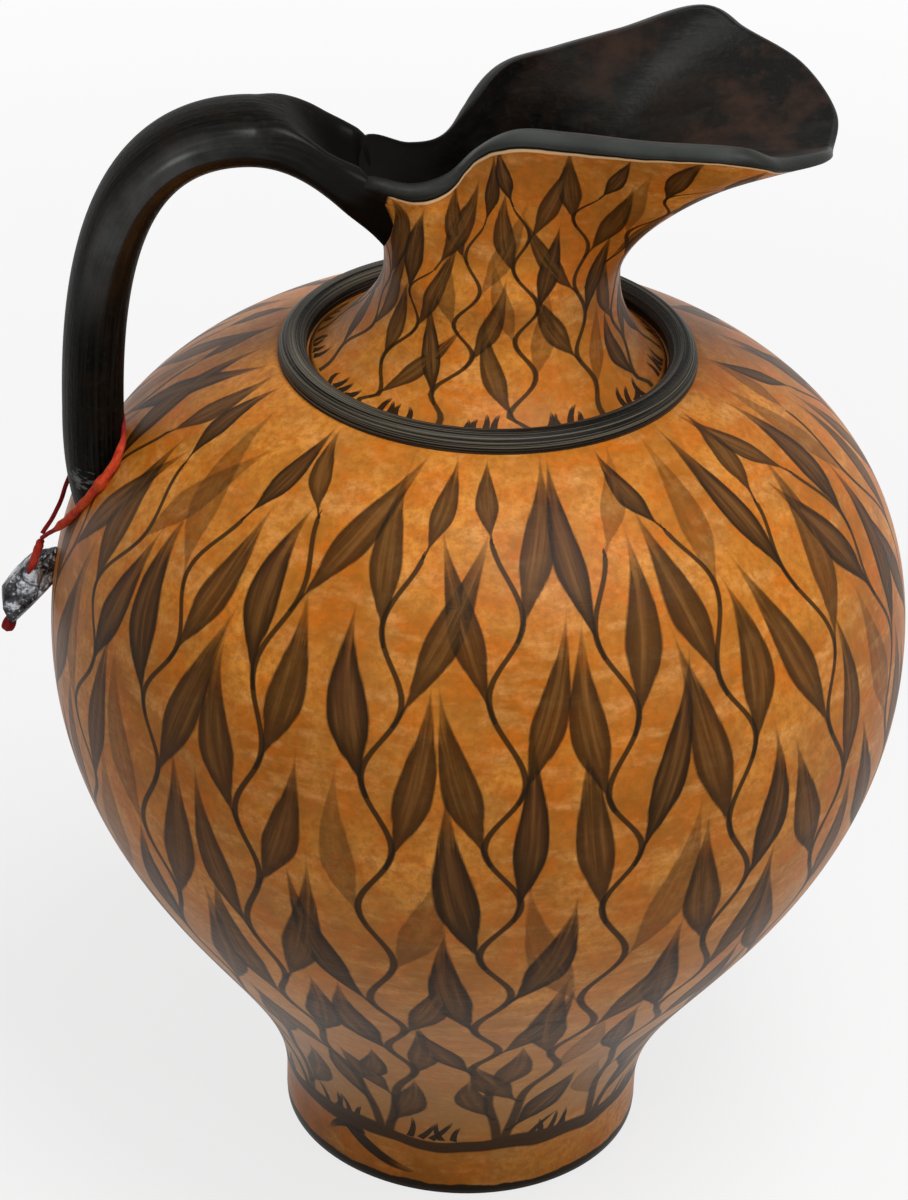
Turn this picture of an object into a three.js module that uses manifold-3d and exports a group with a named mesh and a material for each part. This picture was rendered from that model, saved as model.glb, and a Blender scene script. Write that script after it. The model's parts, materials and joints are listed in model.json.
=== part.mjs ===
// A terracotta pouring jug: a round-bellied body on a low foot, a raised ring where the neck is
// luted on, a broad leaf-shaped spout, a strap handle, and a lead seal on a thread round the handle.
// Millimetres, +Z up. The origin is the centre of the underside and +X points along the spout.
import * as THREE from "three";
import { mergeVertices } from "three/addons/utils/BufferGeometryUtils.js";
import Module from "manifold-3d";

const wasm = await Module();
wasm.setup();

// Joints between the clay pieces
const gap = 0.3;
const roundSides = 60;

// Foot and body
const footRadius = 44;
const footHeight = 7;
const footEdge = 1.2;
const floorThickness = 8;
const floorFillet = 2;
const bellyRadius = 100.2;
const bellyHeight = 139;
const bodyWall = 5;
const footSweep = 43;
const bellySweepBelow = 62;
const bellySweepAbove = 27.5;
const shoulderSweep = 44;
const shoulderSlope = 22;
const seatHeight = 209;

// Raised ring, and the flat seat that it shares with the neck
const ringRadius = 44.3;
const ringBead = 3.3;
const ringRise = 1;
const seatMargin = 1;

// Neck
const neckWall = 6;
const neckFlare = 35;
const neckFlareSweep = 11;
const waistRadius = 26.5;
const waistAhead = 3;
const waistRise = 23;
const waistSweep = 9;
const lipRound = 0.9;

// Half of the mouth's rim, from the tip of the spout round to the back of the mouth. Each point
// says how far it is ahead of the axis, its half width, and its height above the seat.
const rimHalf = [
  [75, 0, 55.5],
  [73.6, 10, 58.8],
  [67.6, 24.8, 61.8],
  [57.5, 36, 65.4],
  [49.8, 41, 68],
  [29, 34, 66],
  [14, 27.2, 63.8],
  [2.5, 20.8, 61.5],
  [-4.2, 15.2, 55.5],
  [-9.5, 10.8, 48],
  [-19, 11, 46.5],
  [-29, 11, 49.5],
  [-34, 0, 46.5],
];
const rimSides = 60;

// How steeply the wall climbs at the rim, in degrees, at the tip, the sides and the back, and the
// turns from the tip over which it changes
const tipFlare = 14;
const sideFlare = 88;
const backFlare = 42;
const tipToSide = [10, 85];
const sideToBack = [115, 180];

// How far the wall keeps its direction above the waist and below the rim, at the same places, as
// parts of the way between them
const waistHold = { tip: 0.24, side: 0.36, back: 0.14 };
const rimHold = { tip: 0.46, side: 0.34 };

// Handle: a strap that rises from the back of the mouth and comes down on the shoulder
const strapThickness = 13.5;
const strapWidth = 24;
const strapFootWidth = 22;
const strapRootSwell = 1.25;
const handleTopBack = 53.6;
const handleTopRise = 54.8;
const handleTopSweep = 25;
const handleDrop = 32;
const handleStraight = 18;
const handleShoulderSweep = 46;
const handleTuck = 6;
const rootInset = 8;
const rootDrop = 3;
const strapInset = 12;

// Round channel in the handle's root. Each point says how far it is behind the back of the mouth
// and above the middle of the root.
const channelRadius = 6.5;
const channelPoints = [
  [-24, 12.5],
  [-8, 10.5],
  [2, 12],
  [9, 18],
  [18, 28],
];

// Thread loop round the handle's foot, its knot and the lead seal
const threadThickness = 1.2;
const loopRise = 14.5;
// Each point says how far it is behind, beside and below the place where the loop passes under
// the handle, from the knot round the handle and back to the knot.
const loopPoints = [
  [19.2, -0.9, 30.5],
  [14.7, -5, 25],
  [11, -9, 19.2],
  [8.3, -12, 14.3],
  [5.4, -13.2, 9.9],
  [2.7, -12.9, 6.1],
  [0.8, -11.3, 2.8],
  [-0.2, -8, 0.6],
  [-0.2, -4, 0],
  [0, 0, 0],
  [0.5, 4, 0],
  [2.1, 8.3, 0.7],
  [4.2, 11.3, 3],
  [7.2, 12.9, 7.5],
  [10.2, 12.2, 13],
  [13.2, 8.6, 20],
  [15.8, 4, 25.7],
  [19.2, 0.9, 30.5],
];
const knotRadius = 1.7;
const knotLength = 3.4;
const sealLength = 19.5;
const sealWidth = 11.4;
const sealThickness = 7;
const sealTilt = 20;
const endLength = 3;
const endRadius = 1.3;

const clay = new THREE.MeshStandardMaterial({ color: "#b9762f", roughness: 0.45 });
const slip = new THREE.MeshStandardMaterial({ color: "#26231f", roughness: 0.4 });
const thread = new THREE.MeshStandardMaterial({ color: "#b8371c", roughness: 0.85 });
const lead = new THREE.MeshStandardMaterial({ color: "#8b8d90", roughness: 0.4, metalness: 0.8 });

const radians = THREE.MathUtils.degToRad;
const smooth = THREE.MathUtils.smoothstep;
const jug = new THREE.Group();

function addPiece(name, geometry, material) {
  const piece = new THREE.Mesh(geometry, material);
  piece.name = name;
  jug.add(piece);
}

// Points of a cubic curve in a plane, from the first of its four points to the last.
function sweep(points, steps) {
  const [a, b, c, d] = points.map(([x, y]) => new THREE.Vector2(x, y));
  return new THREE.CubicBezierCurve(a, b, c, d).getPoints(steps);
}

// Points of a radius and height profile, moved out along their normals by a distance.
function moveOut(points, distance) {
  return points.map((point, i) => {
    const along = points[Math.min(i + 1, points.length - 1)].clone();
    along.sub(points[Math.max(i - 1, 0)]).normalize();
    return new THREE.Vector2(point.x + along.y * distance, point.y - along.x * distance);
  });
}

// A solid turned about the Z axis. Its profile runs anticlockwise, with radius to the right.
function turned(points) {
  return new THREE.LatheGeometry(points, roundSides).rotateX(Math.PI / 2);
}

// Faces between each ring of points and the next, and from the last ring to the first if joined.
function bandFaces(rings, joined) {
  const sides = rings[0].length;
  const bands = joined ? rings.length : rings.length - 1;
  const faces = [];
  for (let i = 0; i < bands; i += 1) {
    const next = (i + 1) % rings.length;
    for (let j = 0; j < sides; j += 1) {
      const k = (j + 1) % sides;
      const [a, b] = [i * sides + j, i * sides + k];
      const [c, d] = [next * sides + k, next * sides + j];
      faces.push(a, b, c, a, c, d);
    }
  }
  return faces;
}

function facedGeometry(rings, faces) {
  const geometry = new THREE.BufferGeometry().setFromPoints(rings.flat());
  geometry.setIndex(faces);
  geometry.computeVertexNormals();
  return geometry;
}

// A solid through rings of points, with a flat fan over each end.
function ringedSolid(rings) {
  const sides = rings[0].length;
  const last = (rings.length - 1) * sides;
  const faces = bandFaces(rings, false);
  for (let j = 1; j < sides - 1; j += 1) {
    faces.push(0, j + 1, j);
    faces.push(last, last + j, last + j + 1);
  }
  return facedGeometry(rings, faces);
}

function toSolid(geometry) {
  const bare = geometry.clone();
  bare.deleteAttribute("normal");
  bare.deleteAttribute("uv");
  const merged = mergeVertices(bare, 1e-4);
  const vertProperties = merged.attributes.position.array;
  const triVerts = new Uint32Array(merged.index.array);
  return new wasm.Manifold(new wasm.Mesh({ numProp: 3, vertProperties, triVerts }));
}

function toGeometry(solid) {
  const mesh = solid.getMesh();
  const geometry = new THREE.BufferGeometry();
  geometry.setAttribute("position", new THREE.BufferAttribute(mesh.vertProperties, 3));
  geometry.setIndex(new THREE.BufferAttribute(mesh.triVerts, 1));
  geometry.computeVertexNormals();
  return geometry;
}

// Body: outer profile from the foot to the seat, in two sweeps that meet at the belly
const seatRadius = ringRadius + ringBead + seatMargin;
const flangeRadius = ringRadius - ringBead - gap;
const neckHoleRadius = flangeRadius - 1.5 * neckWall;
const floorHeight = footHeight + floorThickness;
const slopeRun = shoulderSweep * Math.cos(radians(shoulderSlope));
const slopeRise = shoulderSweep * Math.sin(radians(shoulderSlope));
const lowerOuter = sweep(
  [
    [footRadius, footHeight],
    [footRadius, footHeight + footSweep],
    [bellyRadius, bellyHeight - bellySweepBelow],
    [bellyRadius, bellyHeight],
  ],
  14,
);
const upperOuter = sweep(
  [
    [bellyRadius, bellyHeight],
    [bellyRadius, bellyHeight + bellySweepAbove],
    [seatRadius + slopeRun, seatHeight - slopeRise],
    [seatRadius, seatHeight],
  ],
  12,
);

function flat(radius, height) {
  return new THREE.Vector2(radius, height);
}

const bellyInner = flat(bellyRadius - bodyWall, bellyHeight);
const lowerInner = [
  ...moveOut(lowerOuter, -bodyWall).filter(
    ({ y }) => y > floorHeight + floorFillet && y < bellyHeight,
  ),
  bellyInner,
];
const upperInner = [bellyInner, ...moveOut(upperOuter, -bodyWall).slice(1)];

const footProfile = [
  flat(0, 0),
  flat(footRadius - footEdge, 0),
  flat(footRadius, footEdge),
  flat(footRadius, footHeight),
  flat(0, footHeight),
];
addPiece("foot", turned(footProfile), clay);

const floorRadius = lowerInner[0].x - floorFillet;
const lowerProfile = [
  flat(0, footHeight),
  ...lowerOuter,
  ...lowerInner.toReversed(),
  flat(floorRadius, floorHeight),
  flat(0, floorHeight),
];
addPiece("lower_body", turned(lowerProfile), clay);

const upperProfile = [
  ...upperOuter,
  flat(neckHoleRadius, seatHeight),
  flat(neckHoleRadius, upperInner.at(-1).y),
  ...upperInner.toReversed(),
  upperOuter[0],
];
addPiece("upper_body", turned(upperProfile), clay);

// Ring: a bead with a flat underside, all round the foot of the neck
const beadStart = -Math.asin(ringRise / ringBead);
const beadSteps = 12;
const beadProfile = [];
for (let i = 0; i <= beadSteps; i += 1) {
  const turn = THREE.MathUtils.lerp(beadStart, Math.PI - beadStart, i / beadSteps);
  const radius = ringRadius + ringBead * Math.cos(turn);
  const height = seatHeight + ringRise + ringBead * Math.sin(turn);
  beadProfile.push(flat(radius, height));
}
beadProfile.push(beadProfile[0]);
addPiece("collar_ring", turned(beadProfile), slip);

// Neck: each meridian climbs from the flange to the waist, then flares out to the rim
const rimPoint = ([ahead, half, above], side) =>
  new THREE.Vector3(ahead, side * half, seatHeight + above);
const rimLoop = [
  ...rimHalf.map((point) => rimPoint(point, 1)),
  ...rimHalf.slice(1, -1).reverse().map((point) => rimPoint(point, -1)),
];
const rimCurve = new THREE.CatmullRomCurve3(rimLoop, true, "centripetal");
const rim = rimCurve.getSpacedPoints(rimSides).slice(0, rimSides);
const waistHeight = seatHeight + waistRise;

function meridian(top) {
  const around = Math.atan2(top.y, top.x - waistAhead);
  const out = new THREE.Vector3(Math.cos(around), Math.sin(around), 0);
  const up = new THREE.Vector3(0, 0, 1);
  const turn = THREE.MathUtils.radToDeg(Math.abs(around));
  const toSide = smooth(turn, ...tipToSide);
  const toBack = smooth(turn, ...sideToBack);
  const between = ({ tip, side, back = side }) =>
    tip + (side - tip) * toSide + (back - side) * toBack;
  const flare = radians(between({ tip: tipFlare, side: sideFlare, back: backFlare }));
  const leave = out.clone().multiplyScalar(Math.cos(flare)).addScaledVector(up, Math.sin(flare));
  const across = out.clone().multiplyScalar(Math.sin(flare)).addScaledVector(up, -Math.cos(flare));
  const foot = out.clone().multiplyScalar(flangeRadius).setZ(seatHeight);
  const waist = out.clone().multiplyScalar(waistRadius).setZ(waistHeight);
  waist.x += waistAhead;
  const edge = top.clone().addScaledVector(across, neckWall / 2);
  const reach = edge.distanceTo(waist);
  const lean = radians(neckFlare);
  const low = new THREE.CubicBezierCurve3(
    foot,
    foot
      .clone()
      .addScaledVector(out, -neckFlareSweep * Math.cos(lean))
      .addScaledVector(up, neckFlareSweep * Math.sin(lean)),
    waist.clone().addScaledVector(up, -waistSweep),
    waist,
  );
  const high = new THREE.CubicBezierCurve3(
    waist,
    waist.clone().addScaledVector(up, reach * between(waistHold)),
    edge.clone().addScaledVector(leave, -reach * between(rimHold)),
    edge,
  );
  return [...low.getPoints(5), ...high.getPoints(8).slice(1)];
}

const meridians = rim.map(meridian);
const levels = meridians[0].length;
const outerSkin = Array.from({ length: levels }, (_, i) => meridians.map((line) => line[i]));

// Unit normals of a stack of rings, pointing out of the neck.
function skinNormals(rings) {
  return rings.map((ring, i) =>
    ring.map((_, j) => {
      const around = ring[(j + 1) % ring.length].clone();
      around.sub(ring[(j + ring.length - 1) % ring.length]);
      const above = rings[Math.min(i + 1, rings.length - 1)][j].clone();
      above.sub(rings[Math.max(i - 1, 0)][j]);
      return around.cross(above).normalize();
    }),
  );
}

const outerNormals = skinNormals(outerSkin);

// The outer skin moved along its normals, and kept above the seat.
function movedSkin(distance) {
  return outerSkin.map((ring, i) =>
    ring.map((point, j) => {
      const normal = outerNormals[i][j].clone();
      if (i === 0) normal.setZ(0).normalize();
      const moved = point.clone().addScaledVector(normal, distance);
      return moved.setZ(Math.max(moved.z, seatHeight));
    }),
  );
}

const innerSkin = movedSkin(-neckWall);
const lip = outerSkin[levels - 1].map((point, j) => {
  const inner = innerSkin[levels - 1][j];
  const rise = point.clone().sub(outerSkin[levels - 2][j]).normalize();
  return point.clone().lerp(inner, 0.5).addScaledVector(rise, lipRound);
});
const neckRings = [...outerSkin, lip, ...innerSkin.toReversed()];
addPiece("neck_spout", facedGeometry(neckRings, bandFaces(neckRings, true)), clay);

// The neck as a filled block, a gap larger than the neck, that goes on straight up from the rim.
// Its flat underside and its lid are strips between the points to either side of the spout.
function filledNeck() {
  const skin = movedSkin(gap);
  const top = skin.at(-1).map((point) => point.clone().setZ(point.z + strapWidth));
  const rings = [...skin, top];
  const sides = top.length;
  const faces = bandFaces(rings, false);
  const last = (rings.length - 1) * sides;
  for (let j = 0; j < sides / 2; j += 1) {
    const [a, b] = [j, j + 1];
    const [c, d] = [(sides - j - 1) % sides, (sides - j) % sides];
    for (const [p, q, r] of [[a, b, c], [a, c, d]]) {
      if (p === q || q === r || r === p) continue;
      faces.push(last + p, last + q, last + r, p, r, q);
    }
  }
  return toSolid(facedGeometry(rings, faces));
}

// The body as a filled block, a gap larger than the body
function filledBody() {
  const outer = moveOut([...lowerOuter, ...upperOuter.slice(1)], gap);
  return toSolid(turned([flat(0, footHeight), ...outer, flat(0, outer.at(-1).y)]));
}

// Handle: the centre line lies in the plane of the spout
function shoulderRadiusAt(height) {
  const above = upperOuter.findIndex((point) => point.y >= height);
  const [a, b] = [upperOuter[above - 1], upperOuter[above]];
  return THREE.MathUtils.mapLinear(height, a.y, b.y, a.x, b.x);
}

const landingHeight = seatHeight - handleDrop;
const handleBack = shoulderRadiusAt(landingHeight);
const [mouthBack, , mouthBackRise] = rimHalf.at(-1);
const rootHeight = seatHeight + mouthBackRise - rootDrop;
const topHeight = seatHeight + handleTopRise;
const plane = (x, z) => new THREE.Vector3(x, 0, z);
const rootStart = plane(mouthBack + rootInset, rootHeight);
const handleTop = plane(-handleTopBack, topHeight);
const straightTop = plane(-handleBack, landingHeight + handleStraight);
const rootSweep = (handleTopBack + mouthBack) / 2;
const handleRise = new THREE.CubicBezierCurve3(
  rootStart,
  plane(rootStart.x - rootSweep, (rootHeight + 2 * topHeight) / 3),
  plane(-handleTopBack + rootSweep, topHeight),
  handleTop,
);
const handleBend = new THREE.CubicBezierCurve3(
  handleTop,
  plane(-handleTopBack - handleTopSweep, topHeight),
  plane(-handleBack, straightTop.z + handleShoulderSweep),
  straightTop,
);
const handleFoot = new THREE.QuadraticBezierCurve3(
  straightTop,
  plane(-handleBack, landingHeight),
  plane(-handleBack + handleTuck, landingHeight - strapInset),
);
const riseSteps = 9;
const handleLine = [
  ...handleRise.getPoints(riseSteps),
  ...handleBend.getPoints(14).slice(1),
  ...handleFoot.getPoints(6).slice(1),
];

const strapSides = 20;
const strapRings = handleLine.map((centre, i) => {
  const along = handleLine[Math.min(i + 1, handleLine.length - 1)].clone();
  along.sub(handleLine[Math.max(i - 1, 0)]).normalize();
  const outward = new THREE.Vector3(along.z, 0, -along.x);
  const swell = THREE.MathUtils.lerp(strapRootSwell, 1, smooth(i, 0, riseSteps));
  const across = THREE.MathUtils.lerp(strapWidth, strapFootWidth, i / (handleLine.length - 1));
  return Array.from({ length: strapSides }, (_, j) => {
    const turn = (2 * Math.PI * j) / strapSides;
    const deep = (swell * strapThickness * Math.cos(turn)) / 2;
    const wide = (across * Math.sin(turn)) / 2;
    return centre.clone().addScaledVector(outward, deep).setY(wide);
  });
});

// The channel that the handle's top shares with the back of the mouth
const channelLine = new THREE.CatmullRomCurve3(
  channelPoints.map(([behind, above]) => plane(mouthBack - behind, rootHeight + above)),
);
const channelShape = new THREE.Shape();
channelShape.absarc(0, 0, channelRadius, 0, 2 * Math.PI);
const channel = new THREE.ExtrudeGeometry(channelShape, {
  steps: 14,
  curveSegments: 10,
  extrudePath: channelLine,
});

const handleSolid = toSolid(ringedSolid(strapRings))
  .subtract(filledNeck())
  .subtract(filledBody())
  .subtract(toSolid(channel));
const handleParts = handleSolid.decompose().sort((a, b) => b.volume() - a.volume());
addPiece("handle", toGeometry(handleParts[0]), slip);

// Thread: a loose loop from the knot round the handle's foot and back to the knot
const threadRadius = threadThickness / 2;
const loopTop = plane(
  -handleBack + strapThickness / 2 + gap + threadRadius,
  landingHeight + loopRise,
);
const loopCurve = new THREE.CatmullRomCurve3(
  loopPoints.map(
    ([behind, beside, below]) =>
      new THREE.Vector3(loopTop.x - behind, beside, loopTop.z - below),
  ),
);
const threadShape = new THREE.Shape();
const threadSides = 8;
for (let i = 0; i < threadSides; i += 1) {
  const turn = (2 * Math.PI * i) / threadSides;
  const [x, y] = [threadRadius * Math.cos(turn), threadRadius * Math.sin(turn)];
  if (i === 0) threadShape.moveTo(x, y);
  else threadShape.lineTo(x, y);
}
const loop = new THREE.ExtrudeGeometry(threadShape, { steps: 48, extrudePath: loopCurve });
addPiece("seal_cord", loop, thread);

// Knot, lead seal and thread ends hang in one line below the loop
function lumpRings(profile, sides, squash) {
  return profile.map(([radius, height]) =>
    Array.from({ length: sides }, (_, j) => {
      const turn = (-2 * Math.PI * j) / sides;
      return new THREE.Vector3(
        radius * Math.cos(turn),
        squash * radius * Math.sin(turn),
        height,
      );
    }),
  );
}

const hanging = new THREE.Group();
const [knotBehind, , knotBelow] = loopPoints.at(-1);
hanging.position.set(loopTop.x - knotBehind, 0, loopTop.z - knotBelow - threadRadius - gap);
hanging.rotation.y = radians(sealTilt);
jug.add(hanging);

function addHanging(name, rings, material) {
  const piece = new THREE.Mesh(ringedSolid(rings), material);
  piece.name = name;
  hanging.add(piece);
}

const knotProfile = [
  [0.4, 0],
  [0.8, -0.12],
  [1, -0.4],
  [0.9, -0.7],
  [0.5, -1],
].map(([r, z]) => [r * knotRadius, z * knotLength]);
addHanging("cord_knot", lumpRings(knotProfile, 12, 1), thread);

const sealTop = -knotLength - gap;
const sealProfile = [
  [0.3, 0],
  [0.62, -0.07],
  [1, -0.3],
  [0.97, -0.55],
  [0.62, -0.82],
  [0.36, -1],
].map(([r, z]) => [(r * sealWidth) / 2, sealTop + z * sealLength]);
addHanging("lead_seal", lumpRings(sealProfile, 16, sealThickness / sealWidth), lead);

const endTop = sealTop - sealLength - gap;
const endProfile = [
  [0.7, 0],
  [1, -0.4],
  [0.8, -1],
].map(([r, z]) => [r * endRadius, endTop + z * endLength]);
addHanging("thread_ends", lumpRings(endProfile, 10, 1), thread);

export default jug;
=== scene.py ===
import json
from math import pi, radians

import bpy
import numpy as np
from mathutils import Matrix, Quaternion, Vector


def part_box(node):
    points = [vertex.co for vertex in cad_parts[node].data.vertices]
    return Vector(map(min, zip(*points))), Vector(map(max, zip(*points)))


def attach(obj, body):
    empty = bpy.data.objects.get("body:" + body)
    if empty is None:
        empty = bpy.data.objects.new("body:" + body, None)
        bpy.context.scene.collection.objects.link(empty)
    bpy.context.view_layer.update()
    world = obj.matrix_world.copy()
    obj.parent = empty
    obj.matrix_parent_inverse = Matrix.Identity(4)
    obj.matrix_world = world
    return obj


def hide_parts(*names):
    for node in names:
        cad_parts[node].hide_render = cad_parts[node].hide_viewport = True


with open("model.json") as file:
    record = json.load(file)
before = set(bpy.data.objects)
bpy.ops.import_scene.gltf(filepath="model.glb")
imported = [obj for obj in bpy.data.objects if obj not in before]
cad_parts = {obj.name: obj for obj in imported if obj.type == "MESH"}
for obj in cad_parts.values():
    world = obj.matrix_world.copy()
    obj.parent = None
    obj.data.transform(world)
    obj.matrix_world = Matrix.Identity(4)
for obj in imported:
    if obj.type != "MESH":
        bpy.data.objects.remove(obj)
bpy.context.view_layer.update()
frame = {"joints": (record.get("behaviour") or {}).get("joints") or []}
scene = bpy.context.scene
scene.view_settings.view_transform = "Standard"

# Camera
# It stands in front of the jug's near side, looks down on it and is tipped a little to one side.
camera_place = Vector((-0.05462, -0.78115, 0.61395))
camera_aim = Vector((-0.0058, 0, 0.1438))
camera_roll = radians(1.95)
camera_lens = 116.4

camera_data = bpy.data.cameras.new("camera")
camera_data.lens = camera_lens
camera_data.clip_start = 0.05
camera = bpy.data.objects.new("camera", camera_data)
camera.location = camera_place
camera_turn = (camera_aim - camera_place).to_track_quat("-Z", "Y")
camera_turn = camera_turn @ Quaternion((0, 0, 1), camera_roll)
camera.rotation_euler = camera_turn.to_euler()
scene.collection.objects.link(camera)
scene.camera = camera

# Red thread
# A doubled cotton thread, twisted, that goes loosely round the handle's foot. It is thick and bright
# where it is doubled and wrapped, and a thin dark strand on either side of the knot.
mm = 0.001
thread_red = (0.46, 0.030, 0.010, 1)
thread_orange = (0.80, 0.115, 0.018, 1)
thread_dark = (0.25, 0.009, 0.009, 1)
thread_thin = 0.52 * mm
thread_thick = 1.05 * mm
thread_sides = 18
thread_count = 320
thread_strands = 3
thread_turns = 17
strand_bulge = 0.09
lump_place = 0.30
lump_reach = 0.013
lump_rise = 0.55 * mm

pivots = {joint["name"]: np.array(joint["pos_m"]) for joint in frame["joints"]}
loop_points = [
    (-19.2, -0.9, -30.5),
    (-14.7, -5, -25),
    (-11, -9, -19.2),
    (-8.3, -12, -14.3),
    (-5.4, -13.2, -9.9),
    (-2.7, -12.9, -6.1),
    (-0.8, -11.3, -2.8),
    (0.2, -8, -0.6),
    (0.2, -4, 0),
    (0, 0, 0),
    (-0.5, 4, 0),
    (-2.1, 8.3, -0.7),
    (-4.2, 11.3, -3),
    (-7.2, 12.9, -7.5),
    (-10.2, 12.2, -13),
    (-13.2, 8.6, -20),
    (-15.8, 4, -25.7),
    (-19.2, 0.9, -30.5),
]


def step(x, low, high):
    """0 below low, 1 above high, and a smooth cubic between them."""
    t = np.clip((x - low) / (high - low), 0, 1)
    return t * t * (3 - 2 * t)


def unit(vectors):
    """Each vector over its length."""
    return vectors / np.maximum(np.linalg.norm(vectors, axis=-1, keepdims=True), 1e-12)


def evenly(line, count, closed=False):
    """Places at equal distances along a line of points. A closed line's end isn't repeated."""
    along = np.concatenate([[0], np.cumsum(np.linalg.norm(np.diff(line, axis=0), axis=1))])
    places = np.linspace(0, along[-1], count, endpoint=not closed)
    return np.stack([np.interp(places, along, values) for values in line.T], axis=1)


def smooth_line(points, count, closed=False):
    """Evenly spaced places on a smooth curve through the points.

    Each stretch is a cubic, and its slope at a point comes from the chords on either side, each
    weighed by the root of its length. The fine curve is then cut into equal lengths.
    """
    points = np.asarray(points, float)
    if closed:
        ends = points[-1:], points[:2]
    else:
        ends = 2 * points[:1] - points[1:2], 2 * points[-1:] - points[-2:-1]
    run = np.concatenate([ends[0], points, ends[1]])
    before, here, there, after = (run[i : len(run) - 3 + i, None] for i in range(4))
    first, middle, last = (
        np.sqrt(np.linalg.norm(b - a, axis=2, keepdims=True))
        for a, b in ((before, here), (here, there), (there, after))
    )
    chord = (there - here) / middle
    leave = middle * ((here - before) / first - (there - before) / (first + middle) + chord)
    reach = middle * (chord - (after - here) / (middle + last) + (after - there) / last)
    t = np.linspace(0, 1, 40, endpoint=False)[None, :, None]
    fine = (
        (2 * t**3 - 3 * t**2 + 1) * here
        + (t**3 - 2 * t**2 + t) * leave
        + (3 * t**2 - 2 * t**3) * there
        + (t**3 - t**2) * reach
    ).reshape(-1, 3)
    fine = np.concatenate([fine, points[:1] if closed else points[-1:]])
    return evenly(fine, count, closed)


def ringed(name, rings, joined=False):
    """A mesh of four-sided faces through rings of points.

    Rings follow one another along the piece, and each ring's points run round it. The last ring
    joins the first, or each end ring is closed by a fan to its middle. The map "wrap" holds the
    distance along the rings and round them.
    """
    count, sides = rings.shape[:2]
    points = rings.reshape(-1, 3)
    bands = count if joined else count - 1
    row = np.arange(bands)[:, None]
    column = np.arange(sides)[None, :]
    across, above = (column + 1) % sides, (row + 1) % count
    corners = [row * sides + column, row * sides + across, above * sides + across, above * sides + column]
    faces = np.stack(corners, axis=2).reshape(-1, 4).tolist()
    if not joined:
        start, end = len(points), len(points) + 1
        last = (count - 1) * sides
        points = np.concatenate([points, rings[0].mean(0)[None], rings[-1].mean(0)[None]])
        faces += [(start, (j + 1) % sides, j) for j in range(sides)]
        faces += [(end, last + j, last + (j + 1) % sides) for j in range(sides)]
    mesh = bpy.data.meshes.new(name)
    mesh.from_pydata(points.tolist(), [], faces)
    along = np.concatenate([[0], np.cumsum(np.linalg.norm(np.diff(rings, axis=0), axis=2).mean(1))])
    along = np.append(along, along[-1])
    girth = np.linalg.norm(np.roll(rings, -1, axis=1) - rings, axis=2).sum(1).mean() / sides
    low = np.broadcast_to(along[row], (bands, sides))
    high = np.broadcast_to(along[row + 1], (bands, sides))
    left = np.broadcast_to(column * girth, (bands, sides))
    wrap = np.stack([low, left, low, left + girth, high, left + girth, high, left], axis=2)
    layer = mesh.uv_layers.new(name="wrap")
    flat = np.zeros(len(mesh.loops) * 2)
    flat[: wrap.size] = wrap.ravel()
    layer.data.foreach_set("uv", flat)
    mesh.shade_smooth()
    piece = bpy.data.objects.new(name, mesh)
    scene.collection.objects.link(piece)
    return piece


class Tree:
    """A node tree, with a short call for each kind of node that the looks need."""

    def __init__(self, tree):
        self.tree = tree

    def link(self, value, socket):
        """Leads a value to a socket."""
        self.tree.links.new(value, socket)

    def node(self, kind, inputs=(), **settings):
        """The outputs of a new node, with its settings and its inputs set or linked by name or number."""
        made = self.tree.nodes.new(kind)
        for key, value in settings.items():
            setattr(made, key, value)
        pairs = inputs.items() if isinstance(inputs, dict) else enumerate(inputs)
        for key, value in pairs:
            if isinstance(value, bpy.types.NodeSocket):
                self.link(value, made.inputs[key])
            elif value is not None:
                made.inputs[key].default_value = value
        return made.outputs

    def math(self, operation, value, *others, clamp=False):
        """The result of a Math node, with one node more for each value past the second."""
        for other in others or [None]:
            pair = [value, other]
            value = self.node("ShaderNodeMath", pair, operation=operation, use_clamp=clamp)[0]
        return value

    def times(self, *values):
        """The product of the values."""
        return self.math("MULTIPLY", *values)

    def plus(self, *values):
        """The sum of the values."""
        return self.math("ADD", *values)

    def most(self, *values):
        """The greatest of the values."""
        return self.math("MAXIMUM", *values)

    def ramp(self, value, low, high, to_low=0.0, to_high=1.0, **settings):
        """The value moved from one range to another, held at its ends."""
        inputs = [value, low, high, to_low, to_high]
        return self.node("ShaderNodeMapRange", inputs, **settings)[0]

    def eased(self, *values):
        """A ramp whose ends are eased."""
        return self.ramp(*values, interpolation_type="SMOOTHSTEP")

    def spread(self, noise, reach):
        """A noise as a swing of that reach to either side of zero."""
        return self.ramp(noise, 0.3, 0.7, -reach, reach)

    def tint(self, share, first, second):
        """The first colour mixed with a share of the second."""
        return self.node("ShaderNodeMix", {0: share, 6: first, 7: second}, data_type="RGBA")[2]

    def washed(self, color, *washes):
        """The colour under washes, each a value, the range it grows over, its share and its colour."""
        for value, low, high, share, wash in washes:
            color = self.tint(self.ramp(value, low, high, 0, share), color, wash)
        return color

    def grain(self, place, scale, detail=4.0, roughness=0.55):
        """The value of a noise at a place."""
        inputs = {"Vector": place, "Scale": scale, "Detail": detail, "Roughness": roughness}
        return self.node("ShaderNodeTexNoise", inputs)[0]

    def scaled(self, place, x, y, z):
        """A place stretched along its three axes."""
        return self.node("ShaderNodeMapping", {"Vector": place, "Scale": (x, y, z)})[0]

    def parts(self, place):
        """The three coordinates of a place."""
        return self.node("ShaderNodeSeparateXYZ", [place])

    def stored(self, name):
        """The outputs of a stored attribute."""
        return self.node("ShaderNodeAttribute", attribute_name=name)

    def placed(self, made, inputs):
        """The outputs of a node group put in the tree."""
        return self.node("ShaderNodeGroup", inputs, node_tree=made.tree)


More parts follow.
